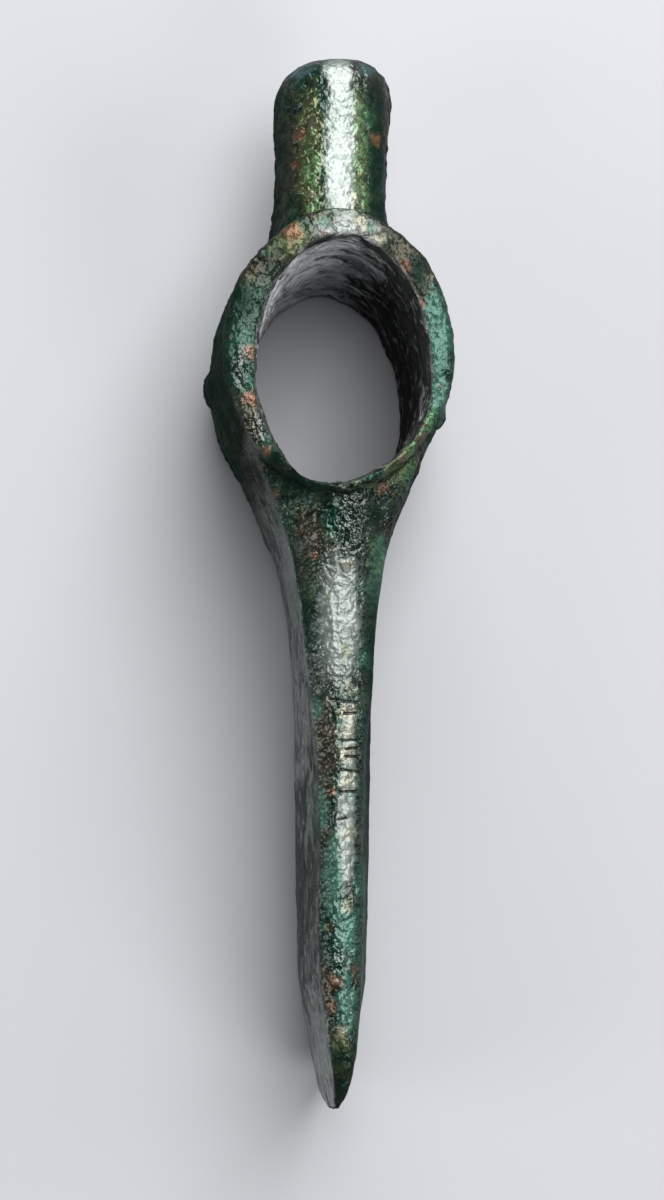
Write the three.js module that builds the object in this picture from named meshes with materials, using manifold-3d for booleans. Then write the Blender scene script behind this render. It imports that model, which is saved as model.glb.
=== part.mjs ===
import * as THREE from 'three';
import { mergeVertices } from 'three/addons/utils/BufferGeometryUtils.js';
import Module from 'manifold-3d';

// A cast bronze shaft-hole axe head: an oval socket, a hammer-like poll behind it and a
// narrow, deep blade in front. It lies with the shaft hole upright. While it is shaped,
// x runs across the axe, y runs from the hole's widest place towards the poll, and z runs
// up the shaft hole from the socket's lower rim. All lengths are in millimetres.

// Socket
const SOCKET_HEIGHT = 38;
const HOLE_HALF_WIDTH = 11.65;
const HOLE_TO_POLL = 18.5;
const HOLE_TO_BLADE = 15.1;
const HOLE_LEAN = 1.6;
const HOLE_LIP = { across: 0.5, deep: 1.2 };
const WALL = 3.5;
const FRONT_WALL = 1.4;
const RIM_PEAK = 0.5;
const WIDEST_OFFSET = 2.3;
const THICKER_SIDE = 0.2;
const BARREL = 1.2;
const POLL_SIDE_ROUNDNESS = 1.92;
const BLADE_SIDE_ROUNDNESS = 1.76;
const UPPER_RIM_ROUNDING = { across: 1, deep: 2.4 };
const LOWER_RIM_ROUNDING = { across: 0.7, deep: 1.2 };

// Poll
const POLL_AXIS_HEIGHT = 19;
const POLL_STATIONS = [
	{ y: 15, radius: 9.2, drift: -0.1 },
	{ y: 22, radius: 8.6, drift: -0.2 },
	{ y: 28, radius: 7.9, drift: -0.25 },
	{ y: 35, radius: 7.95, drift: 0 },
	{ y: 41.8, radius: 8.2, drift: 0.2 },
	{ y: 44.8, radius: 7.6, drift: 0.4 },
	{ y: 46.6, radius: 6.2, drift: 0.55 },
	{ y: 47.6, radius: 4, drift: 0.5 },
	{ y: 47.9, radius: 1.6, drift: 0.4 },
];

// Blade, from inside the socket to the cutting edge. half is half the thickness at the
// corners, bulge is what each flank swells beyond it, top and under are the heights of the
// upper and lower spines, crown is how far a spine stands above its corners, and drift is
// how far the centre line has moved sideways.
const BLADE_STATIONS = [
	{ y: 6, half: 13, bulge: 0.6, top: 35.4, under: 1.2, crown: 1.6, drift: -0.1 },
	{ y: -3, half: 13.5, bulge: 0.9, top: 35.6, under: 1, crown: 2.2, drift: -0.1 },
	{ y: -9, half: 11.7, bulge: 1, top: 35.8, under: 0.8, crown: 2.8, drift: -0.1 },
	{ y: -16, half: 8.95, bulge: 0.9, top: 36.3, under: 0.8, crown: 3.4, drift: -0.1 },
	{ y: -22.5, half: 6.85, bulge: 0.2, top: 34.3, under: 3.4, crown: 3.3, drift: -0.1 },
	{ y: -31, half: 5.35, bulge: 0.2, top: 33.4, under: 5.2, crown: 2.6, drift: 0 },
	{ y: -43, half: 4.15, bulge: 0.9, top: 33.4, under: 4, crown: 2, drift: 0.15 },
	{ y: -52, half: 3.2, bulge: 1.8, top: 33.7, under: 2, crown: 1.7, drift: 0.2 },
	{ y: -66, half: 2.95, bulge: 1.85, top: 34.2, under: 0.5, crown: 1.5, drift: 0.2 },
	{ y: -80, half: 2.7, bulge: 1.6, top: 34.6, under: 0, crown: 1.3, drift: 0.2 },
	{ y: -88, half: 2.1, bulge: 1.05, top: 34.2, under: 0.4, crown: 1, drift: 0.35 },
	{ y: -93, half: 1.5, bulge: 0.5, top: 32.8, under: 2.4, crown: 0.7, drift: 0.45 },
	{ y: -96.6, half: 0.85, bulge: 0.1, top: 30, under: 6.4, crown: 0.4, drift: 0.3 },
	{ y: -98.1, half: 0.32, bulge: 0, top: 26.5, under: 12, crown: 0.3, drift: 0.15 },
];
const EDGE_START = -88;
const SPINE_FLATNESS = 2.4;

// Casting lumps on the socket's cheeks
const LUMPS = [
	{ x: -15.9, y: 1.2, z: 17, across: 1.5, along: 2.6, high: 6 },
	{ x: 13.3, y: -4.6, z: 33, across: 1, along: 2.3, high: 3.4 },
];

// Fineness of the facets
const ROUNDING_STEPS = 3;
const BARREL_STEPS = 5;
const POLL_STEPS = 22;
const POLL_CROWDING = 1.8;
const BLADE_STEP = 2.2;
const EDGE_STEP = 0.8;
const AROUND_SOCKET = 64;
const AROUND_POLL = 40;
const ACROSS_SPINE = 9;
const DOWN_FLANK = 9;

const wasm = await Module();
wasm.setup();

// Turns a closed geometry into a solid that can be joined and cut.
function solid( geometry ) {

	const bare = geometry.clone();
	bare.deleteAttribute( 'normal' );
	bare.deleteAttribute( 'uv' );
	const merged = mergeVertices( bare, 1e-4 );
	const corners = merged.index.array;
	const triVerts = [];
	for ( let i = 0; i < corners.length; i += 3 ) {

		const [ a, b, c ] = [ corners[ i ], corners[ i + 1 ], corners[ i + 2 ] ];
		if ( a !== b && b !== c && c !== a ) triVerts.push( a, b, c );

	}

	return new wasm.Manifold( new wasm.Mesh( {
		numProp: 3,
		vertProperties: new Float32Array( merged.attributes.position.array ),
		triVerts: new Uint32Array( triVerts ),
	} ) );

}

// Skins a row of closed rings and fans a cap over each end. The rings run anticlockwise
// seen from the side that the row moves towards.
function loft( rings ) {

	const count = rings[ 0 ].length;
	const points = rings.flat();
	const index = [];
	for ( let r = 0; r < rings.length - 1; r ++ ) {

		for ( let i = 0; i < count; i ++ ) {

			const a = r * count + i;
			const b = r * count + ( i + 1 ) % count;
			index.push( a, b, b + count, a, b + count, a + count );

		}

	}

	for ( const end of [ 0, rings.length - 1 ] ) {

		const centre = new THREE.Vector3();
		rings[ end ].forEach( ( p ) => centre.addScaledVector( p, 1 / count ) );
		const hub = points.push( centre ) - 1;
		for ( let i = 0; i < count; i ++ ) {

			const a = end * count + i;
			const b = end * count + ( i + 1 ) % count;
			if ( end === 0 ) index.push( hub, b, a );
			else index.push( hub, a, b );

		}

	}

	return new THREE.BufferGeometry().setFromPoints( points ).setIndex( index );

}

// Smooth values between stations: a cubic through each station that never overshoots.
function slopeAt( stations, k, key ) {

	if ( k === 0 || k === stations.length - 1 ) return 0;
	const [ a, b, c ] = [ stations[ k - 1 ], stations[ k ], stations[ k + 1 ] ];
	const before = ( b[ key ] - a[ key ] ) / ( b.y - a.y );
	const after = ( c[ key ] - b[ key ] ) / ( c.y - b.y );
	if ( before * after <= 0 ) return 0;
	return 2 * before * after / ( before + after );

}

function valueAt( stations, y, key ) {

	const down = stations[ 0 ].y > stations.at( - 1 ).y;
	let k = stations.findIndex( ( s ) => ( down ? s.y <= y : s.y >= y ) );
	if ( k === - 1 ) k = stations.length - 1;
	if ( k === 0 ) return stations[ 0 ][ key ];
	const [ a, b ] = [ stations[ k - 1 ], stations[ k ] ];
	const span = b.y - a.y;
	const t = ( y - a.y ) / span;
	const [ m, n ] = [ slopeAt( stations, k - 1, key ) * span, slopeAt( stations, k, key ) * span ];
	return a[ key ] * ( 1 - t ) ** 2 * ( 1 + 2 * t ) + m * t * ( 1 - t ) ** 2
		+ b[ key ] * t ** 2 * ( 3 - 2 * t ) + n * t ** 2 * ( t - 1 );

}

// An egg outline with its own length and roundness towards the poll and towards the
// blade. A roundness of 2 is an ellipse, and less is more pointed.
function egg( { halfWidth, toPoll, toBlade, pollRoundness, bladeRoundness, lean, middle }, z ) {

	const ring = [];
	for ( let i = 0; i < AROUND_SOCKET; i ++ ) {

		const angle = i / AROUND_SOCKET * 2 * Math.PI;
		const [ across, along ] = [ Math.cos( angle ), Math.sin( angle ) ];
		const power = 2 / ( along > 0 ? pollRoundness : bladeRoundness );
		const reach = along > 0 ? toPoll : toBlade;
		const sideways = along < 0 ? - lean * along ** 4 : 0;
		ring.push( new THREE.Vector3(
			middle.x + halfWidth * Math.sign( across ) * Math.abs( across ) ** power + sideways,
			middle.y + reach * Math.sign( along ) * Math.abs( along ) ** power,
			z,
		) );

	}

	return ring;

}

// Heights up a wall with what each is set back by a rounding: a quarter ellipse at each
// rim, and even steps between them.
function roundedLevels( low, high, steps ) {

	const levels = [];
	for ( let i = 0; i <= ROUNDING_STEPS; i ++ ) {

		const angle = i / ROUNDING_STEPS * Math.PI / 2;
		const back = 1 - Math.sin( angle );
		const height = 1 - Math.cos( angle );
		levels.push( { z: low.deep * height, back: low.across * back } );
		levels.push( { z: SOCKET_HEIGHT - high.deep * height, back: high.across * back } );

	}

	for ( let i = 1; i < steps; i ++ ) {

		const wall = SOCKET_HEIGHT - low.deep - high.deep;
		levels.push( { z: low.deep + wall * i / steps, back: 0 } );

	}

	return levels.sort( ( a, b ) => a.z - b.z );

}

// The socket's outside is a slight barrel with rounded rims.
function socketBody() {

	const levels = roundedLevels( LOWER_RIM_ROUNDING, UPPER_RIM_ROUNDING, BARREL_STEPS );
	return solid( loft( levels.map( ( { z, back } ) => {

		const swell = BARREL * Math.sin( z / SOCKET_HEIGHT * Math.PI ) - back;
		return egg( {
			halfWidth: HOLE_HALF_WIDTH + WALL + swell,
			toPoll: HOLE_TO_POLL + WALL + RIM_PEAK - WIDEST_OFFSET + swell,
			toBlade: HOLE_TO_BLADE + FRONT_WALL + WIDEST_OFFSET + swell,
			pollRoundness: POLL_SIDE_ROUNDNESS,
			bladeRoundness: BLADE_SIDE_ROUNDNESS,
			lean: HOLE_LEAN / 2,
			middle: { x: - THICKER_SIDE, y: WIDEST_OFFSET },
		}, z );

	} ) ) );

}

// The shaft hole is straight, with its edges worn round at both rims, and the cut runs
// past them.
function shaftHole() {

	const levels = roundedLevels( HOLE_LIP, HOLE_LIP, 1 );
	levels.unshift( { z: - HOLE_LIP.deep, back: HOLE_LIP.across } );
	levels.push( { z: SOCKET_HEIGHT + HOLE_LIP.deep, back: HOLE_LIP.across } );
	return solid( loft( levels.map( ( { z, back } ) => egg( {
		halfWidth: HOLE_HALF_WIDTH + back,
		toPoll: HOLE_TO_POLL + back,
		toBlade: HOLE_TO_BLADE + back,
		pollRoundness: 2,
		bladeRoundness: 2,
		lean: HOLE_LEAN,
		middle: { x: 0, y: 0 },
	}, z ) ) ) );

}

function poll() {

	const rings = [];
	const first = POLL_STATIONS[ 0 ].y;
	const last = POLL_STATIONS.at( - 1 ).y;
	for ( let s = 0; s <= POLL_STEPS; s ++ ) {

		// Steps crowd towards the rounded end.
		const y = first + ( last - first ) * ( 1 - ( 1 - s / POLL_STEPS ) ** POLL_CROWDING );
		const radius = valueAt( POLL_STATIONS, y, 'radius' );
		const drift = valueAt( POLL_STATIONS, y, 'drift' );
		const ring = [];
		for ( let i = 0; i < AROUND_POLL; i ++ ) {

			const angle = - i / AROUND_POLL * 2 * Math.PI;
			ring.push( new THREE.Vector3(
				drift + radius * Math.cos( angle ),
				y,
				POLL_AXIS_HEIGHT + radius * Math.sin( angle ),
			) );

		}

		rings.push( ring );

	}

	return solid( loft( rings ) );

}

// One section across the blade: a crowned spine, a swelling flank, the lower spine, and
// the other flank.
function bladeSection( y ) {

	const at = ( key ) => valueAt( BLADE_STATIONS, y, key );
	const [ half, bulge, top, under ] = [ at( 'half' ), at( 'bulge' ), at( 'top' ), at( 'under' ) ];
	const [ crown, drift ] = [ at( 'crown' ), at( 'drift' ) ];
	const upper = top - crown;
	const lower = under + crown;
	const outline = [];
	for ( let i = 0; i < ACROSS_SPINE; i ++ ) {

		const s = - 1 + 2 * i / ACROSS_SPINE;
		outline.push( [ half * s, top - crown * Math.abs( s ) ** SPINE_FLATNESS ] );

	}

	for ( let i = 0; i < DOWN_FLANK; i ++ ) {

		const t = i / DOWN_FLANK;
		outline.push( [ half + bulge * Math.sin( Math.PI * t ), upper + ( lower - upper ) * t ] );

	}

	for ( let i = 0; i < ACROSS_SPINE; i ++ ) {

		const s = 1 - 2 * i / ACROSS_SPINE;
		outline.push( [ half * s, under + crown * Math.abs( s ) ** SPINE_FLATNESS ] );

	}

	for ( let i = 0; i < DOWN_FLANK; i ++ ) {

		const t = i / DOWN_FLANK;
		outline.push( [ - half - bulge * Math.sin( Math.PI * t ), lower + ( upper - lower ) * t ] );

	}

	return outline.reverse().map( ( [ x, z ] ) => new THREE.Vector3( x + drift, y, z ) );

}

function blade() {

	const rings = [];
	const end = BLADE_STATIONS.at( - 1 ).y;
	let y = BLADE_STATIONS[ 0 ].y;
	while ( y > end + EDGE_STEP / 2 ) {

		rings.push( bladeSection( y ) );
		y -= y > EDGE_START ? BLADE_STEP : EDGE_STEP;

	}

	rings.push( bladeSection( end ) );
	return solid( loft( rings ) );

}

function lump( { x, y, z, across, along, high } ) {

	const ball = new THREE.SphereGeometry( 1, 16, 12 );
	ball.scale( across, along, high );
	ball.translate( x, y, z );
	return solid( ball );

}

// Joins the parts of the casting, cuts the shaft hole, and moves the origin to the middle
// of the underside.
function axeHead() {

	let casting = socketBody().add( blade() ).add( poll() );
	for ( const place of LUMPS ) casting = casting.add( lump( place ) );
	const cut = casting.subtract( shaftHole() ).getMesh();
	const geometry = new THREE.BufferGeometry();
	geometry.setAttribute( 'position', new THREE.BufferAttribute( cut.vertProperties, 3 ) );
	geometry.setIndex( new THREE.BufferAttribute( cut.triVerts, 1 ) );
	geometry.computeBoundingBox();
	const { min, max } = geometry.boundingBox;
	geometry.translate( - ( min.x + max.x ) / 2, - ( min.y + max.y ) / 2, - min.z );
	geometry.computeVertexNormals();
	return geometry;

}

const bronze = new THREE.MeshStandardMaterial( { color: 0x2e3d34, roughness: 0.35, metalness: 0.55 } );
const head = new THREE.Mesh( axeHead(), bronze );
head.name = 'axe_head';

const axe = new THREE.Group();
axe.add( head );

export default axe;
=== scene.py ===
"""A bronze age axe head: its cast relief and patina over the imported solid, with a floor and soft light."""

import math

import bmesh
import bpy
import numpy as np
from bpy.props import FloatProperty, FloatVectorProperty, IntProperty, PointerProperty
from mathutils import Matrix, Vector


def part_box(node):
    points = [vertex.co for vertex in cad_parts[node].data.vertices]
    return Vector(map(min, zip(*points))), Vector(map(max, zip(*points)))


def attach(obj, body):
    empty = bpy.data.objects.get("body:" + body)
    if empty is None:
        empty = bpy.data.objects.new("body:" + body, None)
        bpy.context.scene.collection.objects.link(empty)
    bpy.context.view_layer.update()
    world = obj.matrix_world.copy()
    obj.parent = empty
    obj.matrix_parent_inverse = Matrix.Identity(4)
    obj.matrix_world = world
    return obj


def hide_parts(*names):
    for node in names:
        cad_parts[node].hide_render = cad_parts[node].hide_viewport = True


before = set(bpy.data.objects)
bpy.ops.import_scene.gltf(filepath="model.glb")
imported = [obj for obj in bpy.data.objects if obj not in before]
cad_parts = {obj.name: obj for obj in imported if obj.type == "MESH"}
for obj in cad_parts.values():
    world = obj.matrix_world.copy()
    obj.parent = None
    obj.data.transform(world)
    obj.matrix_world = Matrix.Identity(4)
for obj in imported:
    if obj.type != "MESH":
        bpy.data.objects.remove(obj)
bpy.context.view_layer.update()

bl_info = {
    "name": "Bronze Age Axe Head",
    "version": (1, 0, 0),
    "blender": (4, 5, 0),
    "location": "View3D > Sidebar > Axe Head",
    "description": "Dresses a cast bronze axe head in its relief and worn green patina",
    "category": "Object",
}

NODE = "axe_head"
AXE_LOW, AXE_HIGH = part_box(NODE)
MM = 0.001

# Places on the axe head in the frame, in millimetres
HOLE_CENTRE = (0.6, 25.1)
HOLE_HALF_WIDTH = 11.65
HOLE_TO_POLL = 18.5
HOLE_TO_BLADE = 15.1
SOCKET_TOP = round(AXE_HIGH.z / MM, 2)

# Small spots of a colour of their own on the upper side: x, y, radius
SPOTS = {
    "copper": (
        (-4.2, 61.2, 0.9), (6.4, 60.5, 0.8), (-4.6, 56.5, 0.6), (2.6, 58.6, 0.5), (-11.6, 27.6, 1.2),
        (-11.6, 21.1, 1.0), (10.9, 34.9, 0.8), (8.7, 39.4, 0.8), (-8.6, 8.6, 0.8), (6.5, 9.8, 0.8),
        (-0.1, -56.5, 0.9), (-0.9, -59.4, 0.9), (-6.0, 43.6, 1.3), (-1.8, 43.0, 0.9), (-2.7, 0.6, 0.5),
        (-3.0, 3.4, 0.4), (-9.6, 14.2, 0.7), (8.6, 13.0, 0.7), (-0.6, -31.0, 0.5), (11.8, 16.0, 0.6),
    ),
    "brass": (
        (1.5, -20.4, 1.0), (1.7, -23.0, 1.2), (1.7, -26.0, 1.2), (1.5, -29.4, 1.2), (2.0, -17.2, 0.7),
        (3.0, 45.6, 1.1), (5.6, 43.2, 1.0), (-2.9, 62.6, 0.8), (3.3, 51.3, 1.0), (-2.6, 52.2, 0.7),
        (1.6, -36.5, 0.9), (1.4, -46.2, 0.8), (0.6, -62.6, 0.6), (-1.0, 1.6, 0.7), (1.6, -0.6, 0.7),
    ),
}

# Broader areas that lean towards one tone or finish on the upper side: x, y, half width, half length
ZONES = {
    # The first two lie either side of the poll's highlight, where their green-gold is partly a painted
    # highlight fringe
    "olive": (
        (-2.9, 58.5, 2.0, 12.0), (3.8, 57.0, 1.6, 11.0), (-6.5, 43.0, 3.0, 3.0), (7.6, 14.5, 2.6, 5.5),
        (0.4, -64.0, 1.2, 1.4),
    ),
    "brown": (
        (-3.6, 3.5, 2.4, 4.5), (-1.4, -26.0, 1.6, 6.5), (-10.8, 18.0, 1.4, 4.0), (10.6, 36.0, 1.2, 4.0),
        (-1.4, -58.0, 1.2, 4.5), (10.8, 15.0, 2.0, 2.6), (-5.4, 58.0, 1.4, 7.0),
    ),
    "verdigris": (
        (13.2, 30.5, 1.9, 6.5), (13.4, 22.5, 1.6, 3.5), (-12.4, 29.0, 0.7, 2.2), (6.0, -1.6, 1.5, 6.5),
        (-2.6, -19.6, 0.8, 1.8), (-0.5, -41.5, 1.3, 6.0), (1.2, -50.0, 1.5, 4.5), (1.3, -58.6, 1.6, 4.0),
        (-9.2, 15.6, 1.4, 2.6), (-2.0, -33.5, 1.0, 4.0),
    ),
    "azure": (
        (-3.9, 70.4, 2.0, 1.3), (4.9, 70.6, 1.8, 1.3),
    ),
    "mint": (
        (4.4, 57.2, 2.0, 9.0), (6.2, 59.0, 0.8, 6.0), (12.0, 18.4, 1.6, 2.6), (5.4, 0.0, 1.4, 3.0),
        (-2.6, 54.0, 1.2, 6.0), (9.6, 13.4, 1.4, 2.6),
    ),
    # Partly painted highlight: grey metal laid where highlights fall on the spine and the rim's top; the
    # scattered patches are wear
    "worn": (
        (0.4, -8.0, 3.2, 10.0), (1.4, -36.0, 1.4, 9.0), (1.5, 44.4, 5.0, 2.0), (1.8, -25.0, 1.0, 6.0),
    ),
    # Wax and bumps give glints here, over colour darkened towards black green as painted shade where these
    # slopes turn from the light
    "glint": (
        (2.0, 5.6, 2.0, 4.2), (-2.6, -13.5, 0.9, 4.0), (-10.6, 17.0, 1.3, 2.4), (-13.2, 25.0, 0.8, 3.4),
        (0.6, -53.0, 1.0, 1.8),
    ),
    # Painted highlight: the palest metal laid along the poll's highlight strip and its end
    "bright": (
        (1.2, 59.0, 2.3, 14.5), (1.0, 70.0, 2.2, 3.0),
    ),
    # Painted shade: near-black laid where the surface turns from the light, on the poll's left, the socket's
    # walls, the spine's sides, the neck and the tip
    "black": (
        (-8.2, 57.0, 3.0, 17.0), (0.2, -71.4, 4.0, 7.6), (-4.6, 10.2, 4.6, 2.6), (-16.4, 22.0, 2.9, 16.0),
        (-4.0, -12.0, 1.2, 14.0), (5.4, -22.0, 1.2, 26.0), (4.0, 6.0, 2.2, 1.8), (-8.0, 12.6, 1.6, 4.0),
        (6.6, 56.0, 1.6, 16.0), (-13.2, 35.0, 1.6, 3.0), (10.8, 38.6, 1.2, 3.4), (-6.0, -1.0, 1.6, 5.0),
    ),
}

# How a spot and a zone fade out, in shares of their own size
SPOT_FADE = (0.1, 2.0)
ZONE_FADE = (0.3, 1.6)

# For each colour: width of the patches scattered everywhere, in millimetres, how rare they are, and how
# ragged the marked ones are
SCATTER = {
    "brown": (5.0, 0.6, 2.4),
    "worn": (6.0, 0.9, 1.2),
    "olive": (6.0, 0.62, 2.4),
    "verdigris": (4.5, 0.64, 1.6),
    "azure": (4.0, 0.74, 2.0),
    "copper": (2.4, 0.7, 2.6),
    "brass": (2.2, 0.76, 2.4),
    "bright": (3.0, 0.9, 1.0),
}

# Softness and first seed of the scattered patches, and how the marked ones fade at their edge and reach
SCATTER_EDGE = 0.08
SCATTER_SEED = 7.0
MARKED_EDGE = (0.25, 0.95)
MARKED_REACH = (0.0, 0.3)

# Chisel-like notches across the upper spine, in millimetres: x and y of the middle, half length, slant
NOTCHES = (
    (1.8, -19.0, 1.4, -0.05), (2.0, -20.5, 0.9, 0.08), (2.1, -24.1, 1.3, 0.05), (2.3, -25.2, 1.0, 0.12),
    (2.3, -26.3, 1.1, 0.02), (2.0, -28.2, 1.5, -0.08), (1.8, -31.0, 1.4, 0.06), (0.9, -34.6, 0.6, 0.2),
)

# A notch's half width and depth, how it fades in from its end, how its dark line fades across and along in
# shares of its half width and half length, and how far and how wide the line wavers
NOTCH_HALF_WIDTH = 0.19
NOTCH_DEPTH = 0.2
NOTCH_END = (-0.2, 0.35)
NOTCH_FADE_ACROSS = (0.3, 1.2)
NOTCH_FADE_ALONG = (0.8, 1.15)
NOTCH_WAVER = 0.2
NOTCH_WAVER_WIDTH = 0.9

# How far the left wall and the upper rim's edge are brought out, in millimetres, the right edge's share of
# that, and the share of the gap below the socket's top that is filled, with the deepest gap that counts
LEFT_WALL_FILL = 0.4
RIM_EDGE_FILL = 0.45
RIGHT_EDGE_SHARE = 0.5
RIM_TOP_FILL = 0.4
RIM_TOP_GAP = 1.5

# Soft borders along the axe head, in millimetres: where a region starts to show, and where it is whole
SOCKET_ALONG = (0.0, 9.0)
LEFT_WALL_ALONG = (45.0, 39.0)
RIM_EDGE_ALONG = (44.0, 40.0)
RIM_BY_NECK = (4.0, 8.0)
RIM_BY_POLL = (48.0, 45.0)
FLANK_ALONG = (16.0, 2.0)
SIDE_ALONG = (6.0, -4.0)

# The same for heights
RIM_EDGE_HEIGHT = (34.5, 37.0)
RIM_TOP_HEIGHT = (36.4, 37.2)
RIM_HEIGHT = (35.0, 36.5)
BORE_PALE_HEIGHT = (37.5, 34.5)
SPINE_HEIGHT = (22.0, 24.0)
NOTCH_HEIGHT = (28.0, 31.0)
UPPER_HEIGHT = (12.0, 20.0)

# The same for the reach from the shaft hole's middle, which is 1 on its wall
BORE_REACH = (1.12, 1.06)
SOCKET_REACH = (1.06, 1.16)

# The same for how squarely the surface faces up, inwards or to a side, from -1 to 1
RIM_TOP_FACING = (0.2, 0.5)
RIM_FACING = (0.75, 0.92)
SPINE_FACING = (0.25, 0.5)
WAXED_FACING = (0.05, 0.45)
SPOT_FACING = (0.05, 0.35)
UPPER_FACING = (-0.25, 0.1)
BORE_FACING = (0.3, 0.8)
SIDE_FACING = (0.5, 0.85)
LEFT_FACING = (-0.2, -0.8)
FLANK_FACING = (-0.72, -0.9)
FLANK_SHADE_FACING = (-0.5, -0.8)

# The side of the shaft hole with painted light on it, paler, in degrees from the right towards the poll, and
# how far it spreads
BORE_PALE_ANGLE = 128
BORE_PALE_SPREAD = (0.1, 0.95)

# A band of painted shade on the left flank is darkest about here, in millimetres along the axe head
FLANK_SHADE_MIDDLE = -42.0
FLANK_SHADE_REACH = 13.0

# Widths in the cast relief, in millimetres, and how it is drawn out along the flanks and round the hole
PEBBLE_PATCH_WIDTH = 7.0
PIT_PATCH_WIDTH = 5.0
PIT_BEND = 1.0
PIT_BEND_WIDTH = 2.0
STREAK_WIDTH = 3.0
STREAK_STRETCH = (1.0, 0.5, 1.0)
RIPPLE_WIDTH = 3.0
RIPPLE_STRETCH = (0.6, 0.6, 1.0)

# Where the pebbles are low and high, and their share there, where the pits are, and how wide one is
PEBBLE_PATCH = (0.35, 0.65)
PEBBLE_SHARE = (0.45, 1.25)
PIT_PATCH = (0.5, 0.62)
PIT_MOUTH = (0.12, 0.42)

# How much the pebbles and pits are calmed
CALM = {"side": 0.75, "worn": 0.5, "bright": 0.6}

# Widths of the finer patterns in the patina, in millimetres, and how they are drawn out
BUMP_WIDTH = 0.95
GRAIN_WIDTH = 0.4
CELL_WIDTH = 0.85
CELL_BEND = 0.9
CELL_BEND_WIDTH = 1.4
VEIN_WIDTH = 1.8
GROUND_WIDTH = 13.0
FLANK_PATCH_WIDTH = 16.0
FINE_STREAK_WIDTH = 1.8
FINE_STREAK_STRETCH = (1.0, 0.6, 1.0)
FINE_RIPPLE_WIDTH = 2.0
FINE_RIPPLE_STRETCH = (0.55, 0.55, 1.0)

# Soft borders in the patterns: where a tone or finish starts to show in the noise, and where it is whole
CREST = (0.15, 0.5)
BROWN_GROUND = (0.42, 0.66)
DARK_MOTTLE = (0.32, 0.74)
ROUGH_MOTTLE = (0.3, 0.7)
BLACK_MOTTLE = (0.4, 0.66)
MINT = (0.1, 0.8)
FLECKS = (0.7, 0.78)
VEIN_REACH = 0.07
LIGHT_STREAKS = (0.46, 0.86)
WAXED_STREAKS = (0.46, 0.75)
PALE_RIPPLES = (0.5, 0.92)
HOLLOWS = (-0.9, -0.15)

# Shares by which one pattern is added to another or taken from it
CELL_SHARE = 0.45
GRAIN_SHARE = 0.2
FLANK_PATCH_SHARE = 0.35
FLANK_SHADE_SHARE = 0.2
BORE_PALE_SHARE = 0.3

# Blooms, and the metals over them, in the order they lie: how well each covers in hollows and on crests. The
# worn grey and the palest metal among them are partly painted highlights.
BLOOMS = {
    "brown": (0.6, 0.85),
    "worn": (0.6, 0.95),
    "olive": (0.5, 0.85),
    "verdigris": (0.55, 0.92),
    "azure": (0.5, 0.9),
    "mint": (0.45, 0.8),
}
METALS = {
    "copper": (0.4, 0.75),
    "brass": (0.5, 0.9),
    "bright": (0.72, 0.92),
}

# How well the other tones cover, the black one, which is partly painted shade, from dark mottling to light
BLACK_COVER = (0.97, 0.75)
HOLLOW_COVER = 0.6
FLANK_COVER = 0.55
GLINT_COVER = 0.6
NOTCH_COVER = 0.95

# What each finish gives the surface where it shows, laid over the plain value in this order
PLAIN_ROUGHNESS = (0.26, 0.38)
ROUGHNESS = {
    "crust": 0.4, "black": 0.5, "bore": 0.5, "flank": 0.4, "worn": 0.42, "rim": 0.42, "bright": 0.45,
}
PLAIN_METALNESS = 0.75
METALNESS = {"crust": 0.5, "bare": 0.85, "bore": 0.05, "black": 0.2}
PLAIN_WAX = 0.05
WAX = {"waxed": 0.5, "worn": 0.22, "rim": 0.3, "bright": 0.15, "black": 0.06, "glint": 1.0, "bore": 0.04}
FLANK_WAX = (0.3, 1.0)
WAX_ROUGHNESS = 0.09
PLAIN_BUMP = 0.36
BUMP = {"worn": 0.22, "rim": 0.3, "bright": 0.18, "glint": 0.42}

# Heights of the other bumps, in millimetres, and how much the flank calms the first ones
GRAIN_BUMP = 0.045
STREAK_BUMP = 0.6
RIPPLE_BUMP = 0.9
NOTCH_BUMP = 0.16
FLANK_CALM = 0.85

# What the material reads from the mesh
MASKS = (
    "relief", "mottle", "bore", "bore_lit_side", "waxed", "spine", "rim", "flank", "flank_shade", "brown", "worn",
    "olive", "verdigris", "azure", "mint", "black", "copper", "brass", "bright", "glint",
)

# Each tree's inputs: the size that sets it, and its label
RELIEF_INPUTS = {
    "wave": "Wave",
    "wave_size": "Wave Size",
    "pebble_size": "Pebble Size",
    "pebble_height": "Pebble Height",
    "pit_size": "Pit Spacing",
    "pit_depth": "Pit Depth",
    "streak_depth": "Streak Depth",
    "ripple_depth": "Ripple Depth",
    "seed": "Seed",
}
PATCH_INPUTS = {
    "tear": "Tear Size",
    "mottle": "Mottle Size",
    "seed": "Seed",
}

# How the solid's facets are evened out, and how gently the underside is flattened, in millimetres
SOFTEN_FACTOR = 0.5
SOFTEN_ROUNDS = 14
FLOOR_SOFTNESS = 0.15

# A length that counts as nothing
TINY = 1e-6

# Soft lights: place, width and depth, in metres, and power in watts
LIGHTS = {
    "Key": ((0.12, 0.2, 0.7), (0.44, 0.6), 8.0),
    "Back": ((0.1, 0.66, 0.42), (0.6, 0.5), 8.0),
    "Fill": ((0.36, -0.44, 0.5), (0.3, 0.3), 2.5),
    "Side": ((0.62, 0.1, 0.3), (0.3, 0.5), 1.2),
    "Left": ((-0.6, -0.15, 0.3), (0.3, 0.5), 2.2),
}
LIGHT_TARGET = (0.0, 0.0, 0.02)
STUDIO_COLOUR = (0.5, 0.54, 0.6, 1.0)
STUDIO_STRENGTH = 0.1

# The floor's gap below the axe head and the camera's target, in millimetres, and the way back from the target
FLOOR_GAP = 0.1
CAMERA_TARGET = (-0.85, -5.94, SOCKET_TOP)
CAMERA_BACK = (-0.084, -0.129, 0.988)
SENSOR_WIDTH = 36.0
NEAREST_SEEN = 0.01

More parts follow.
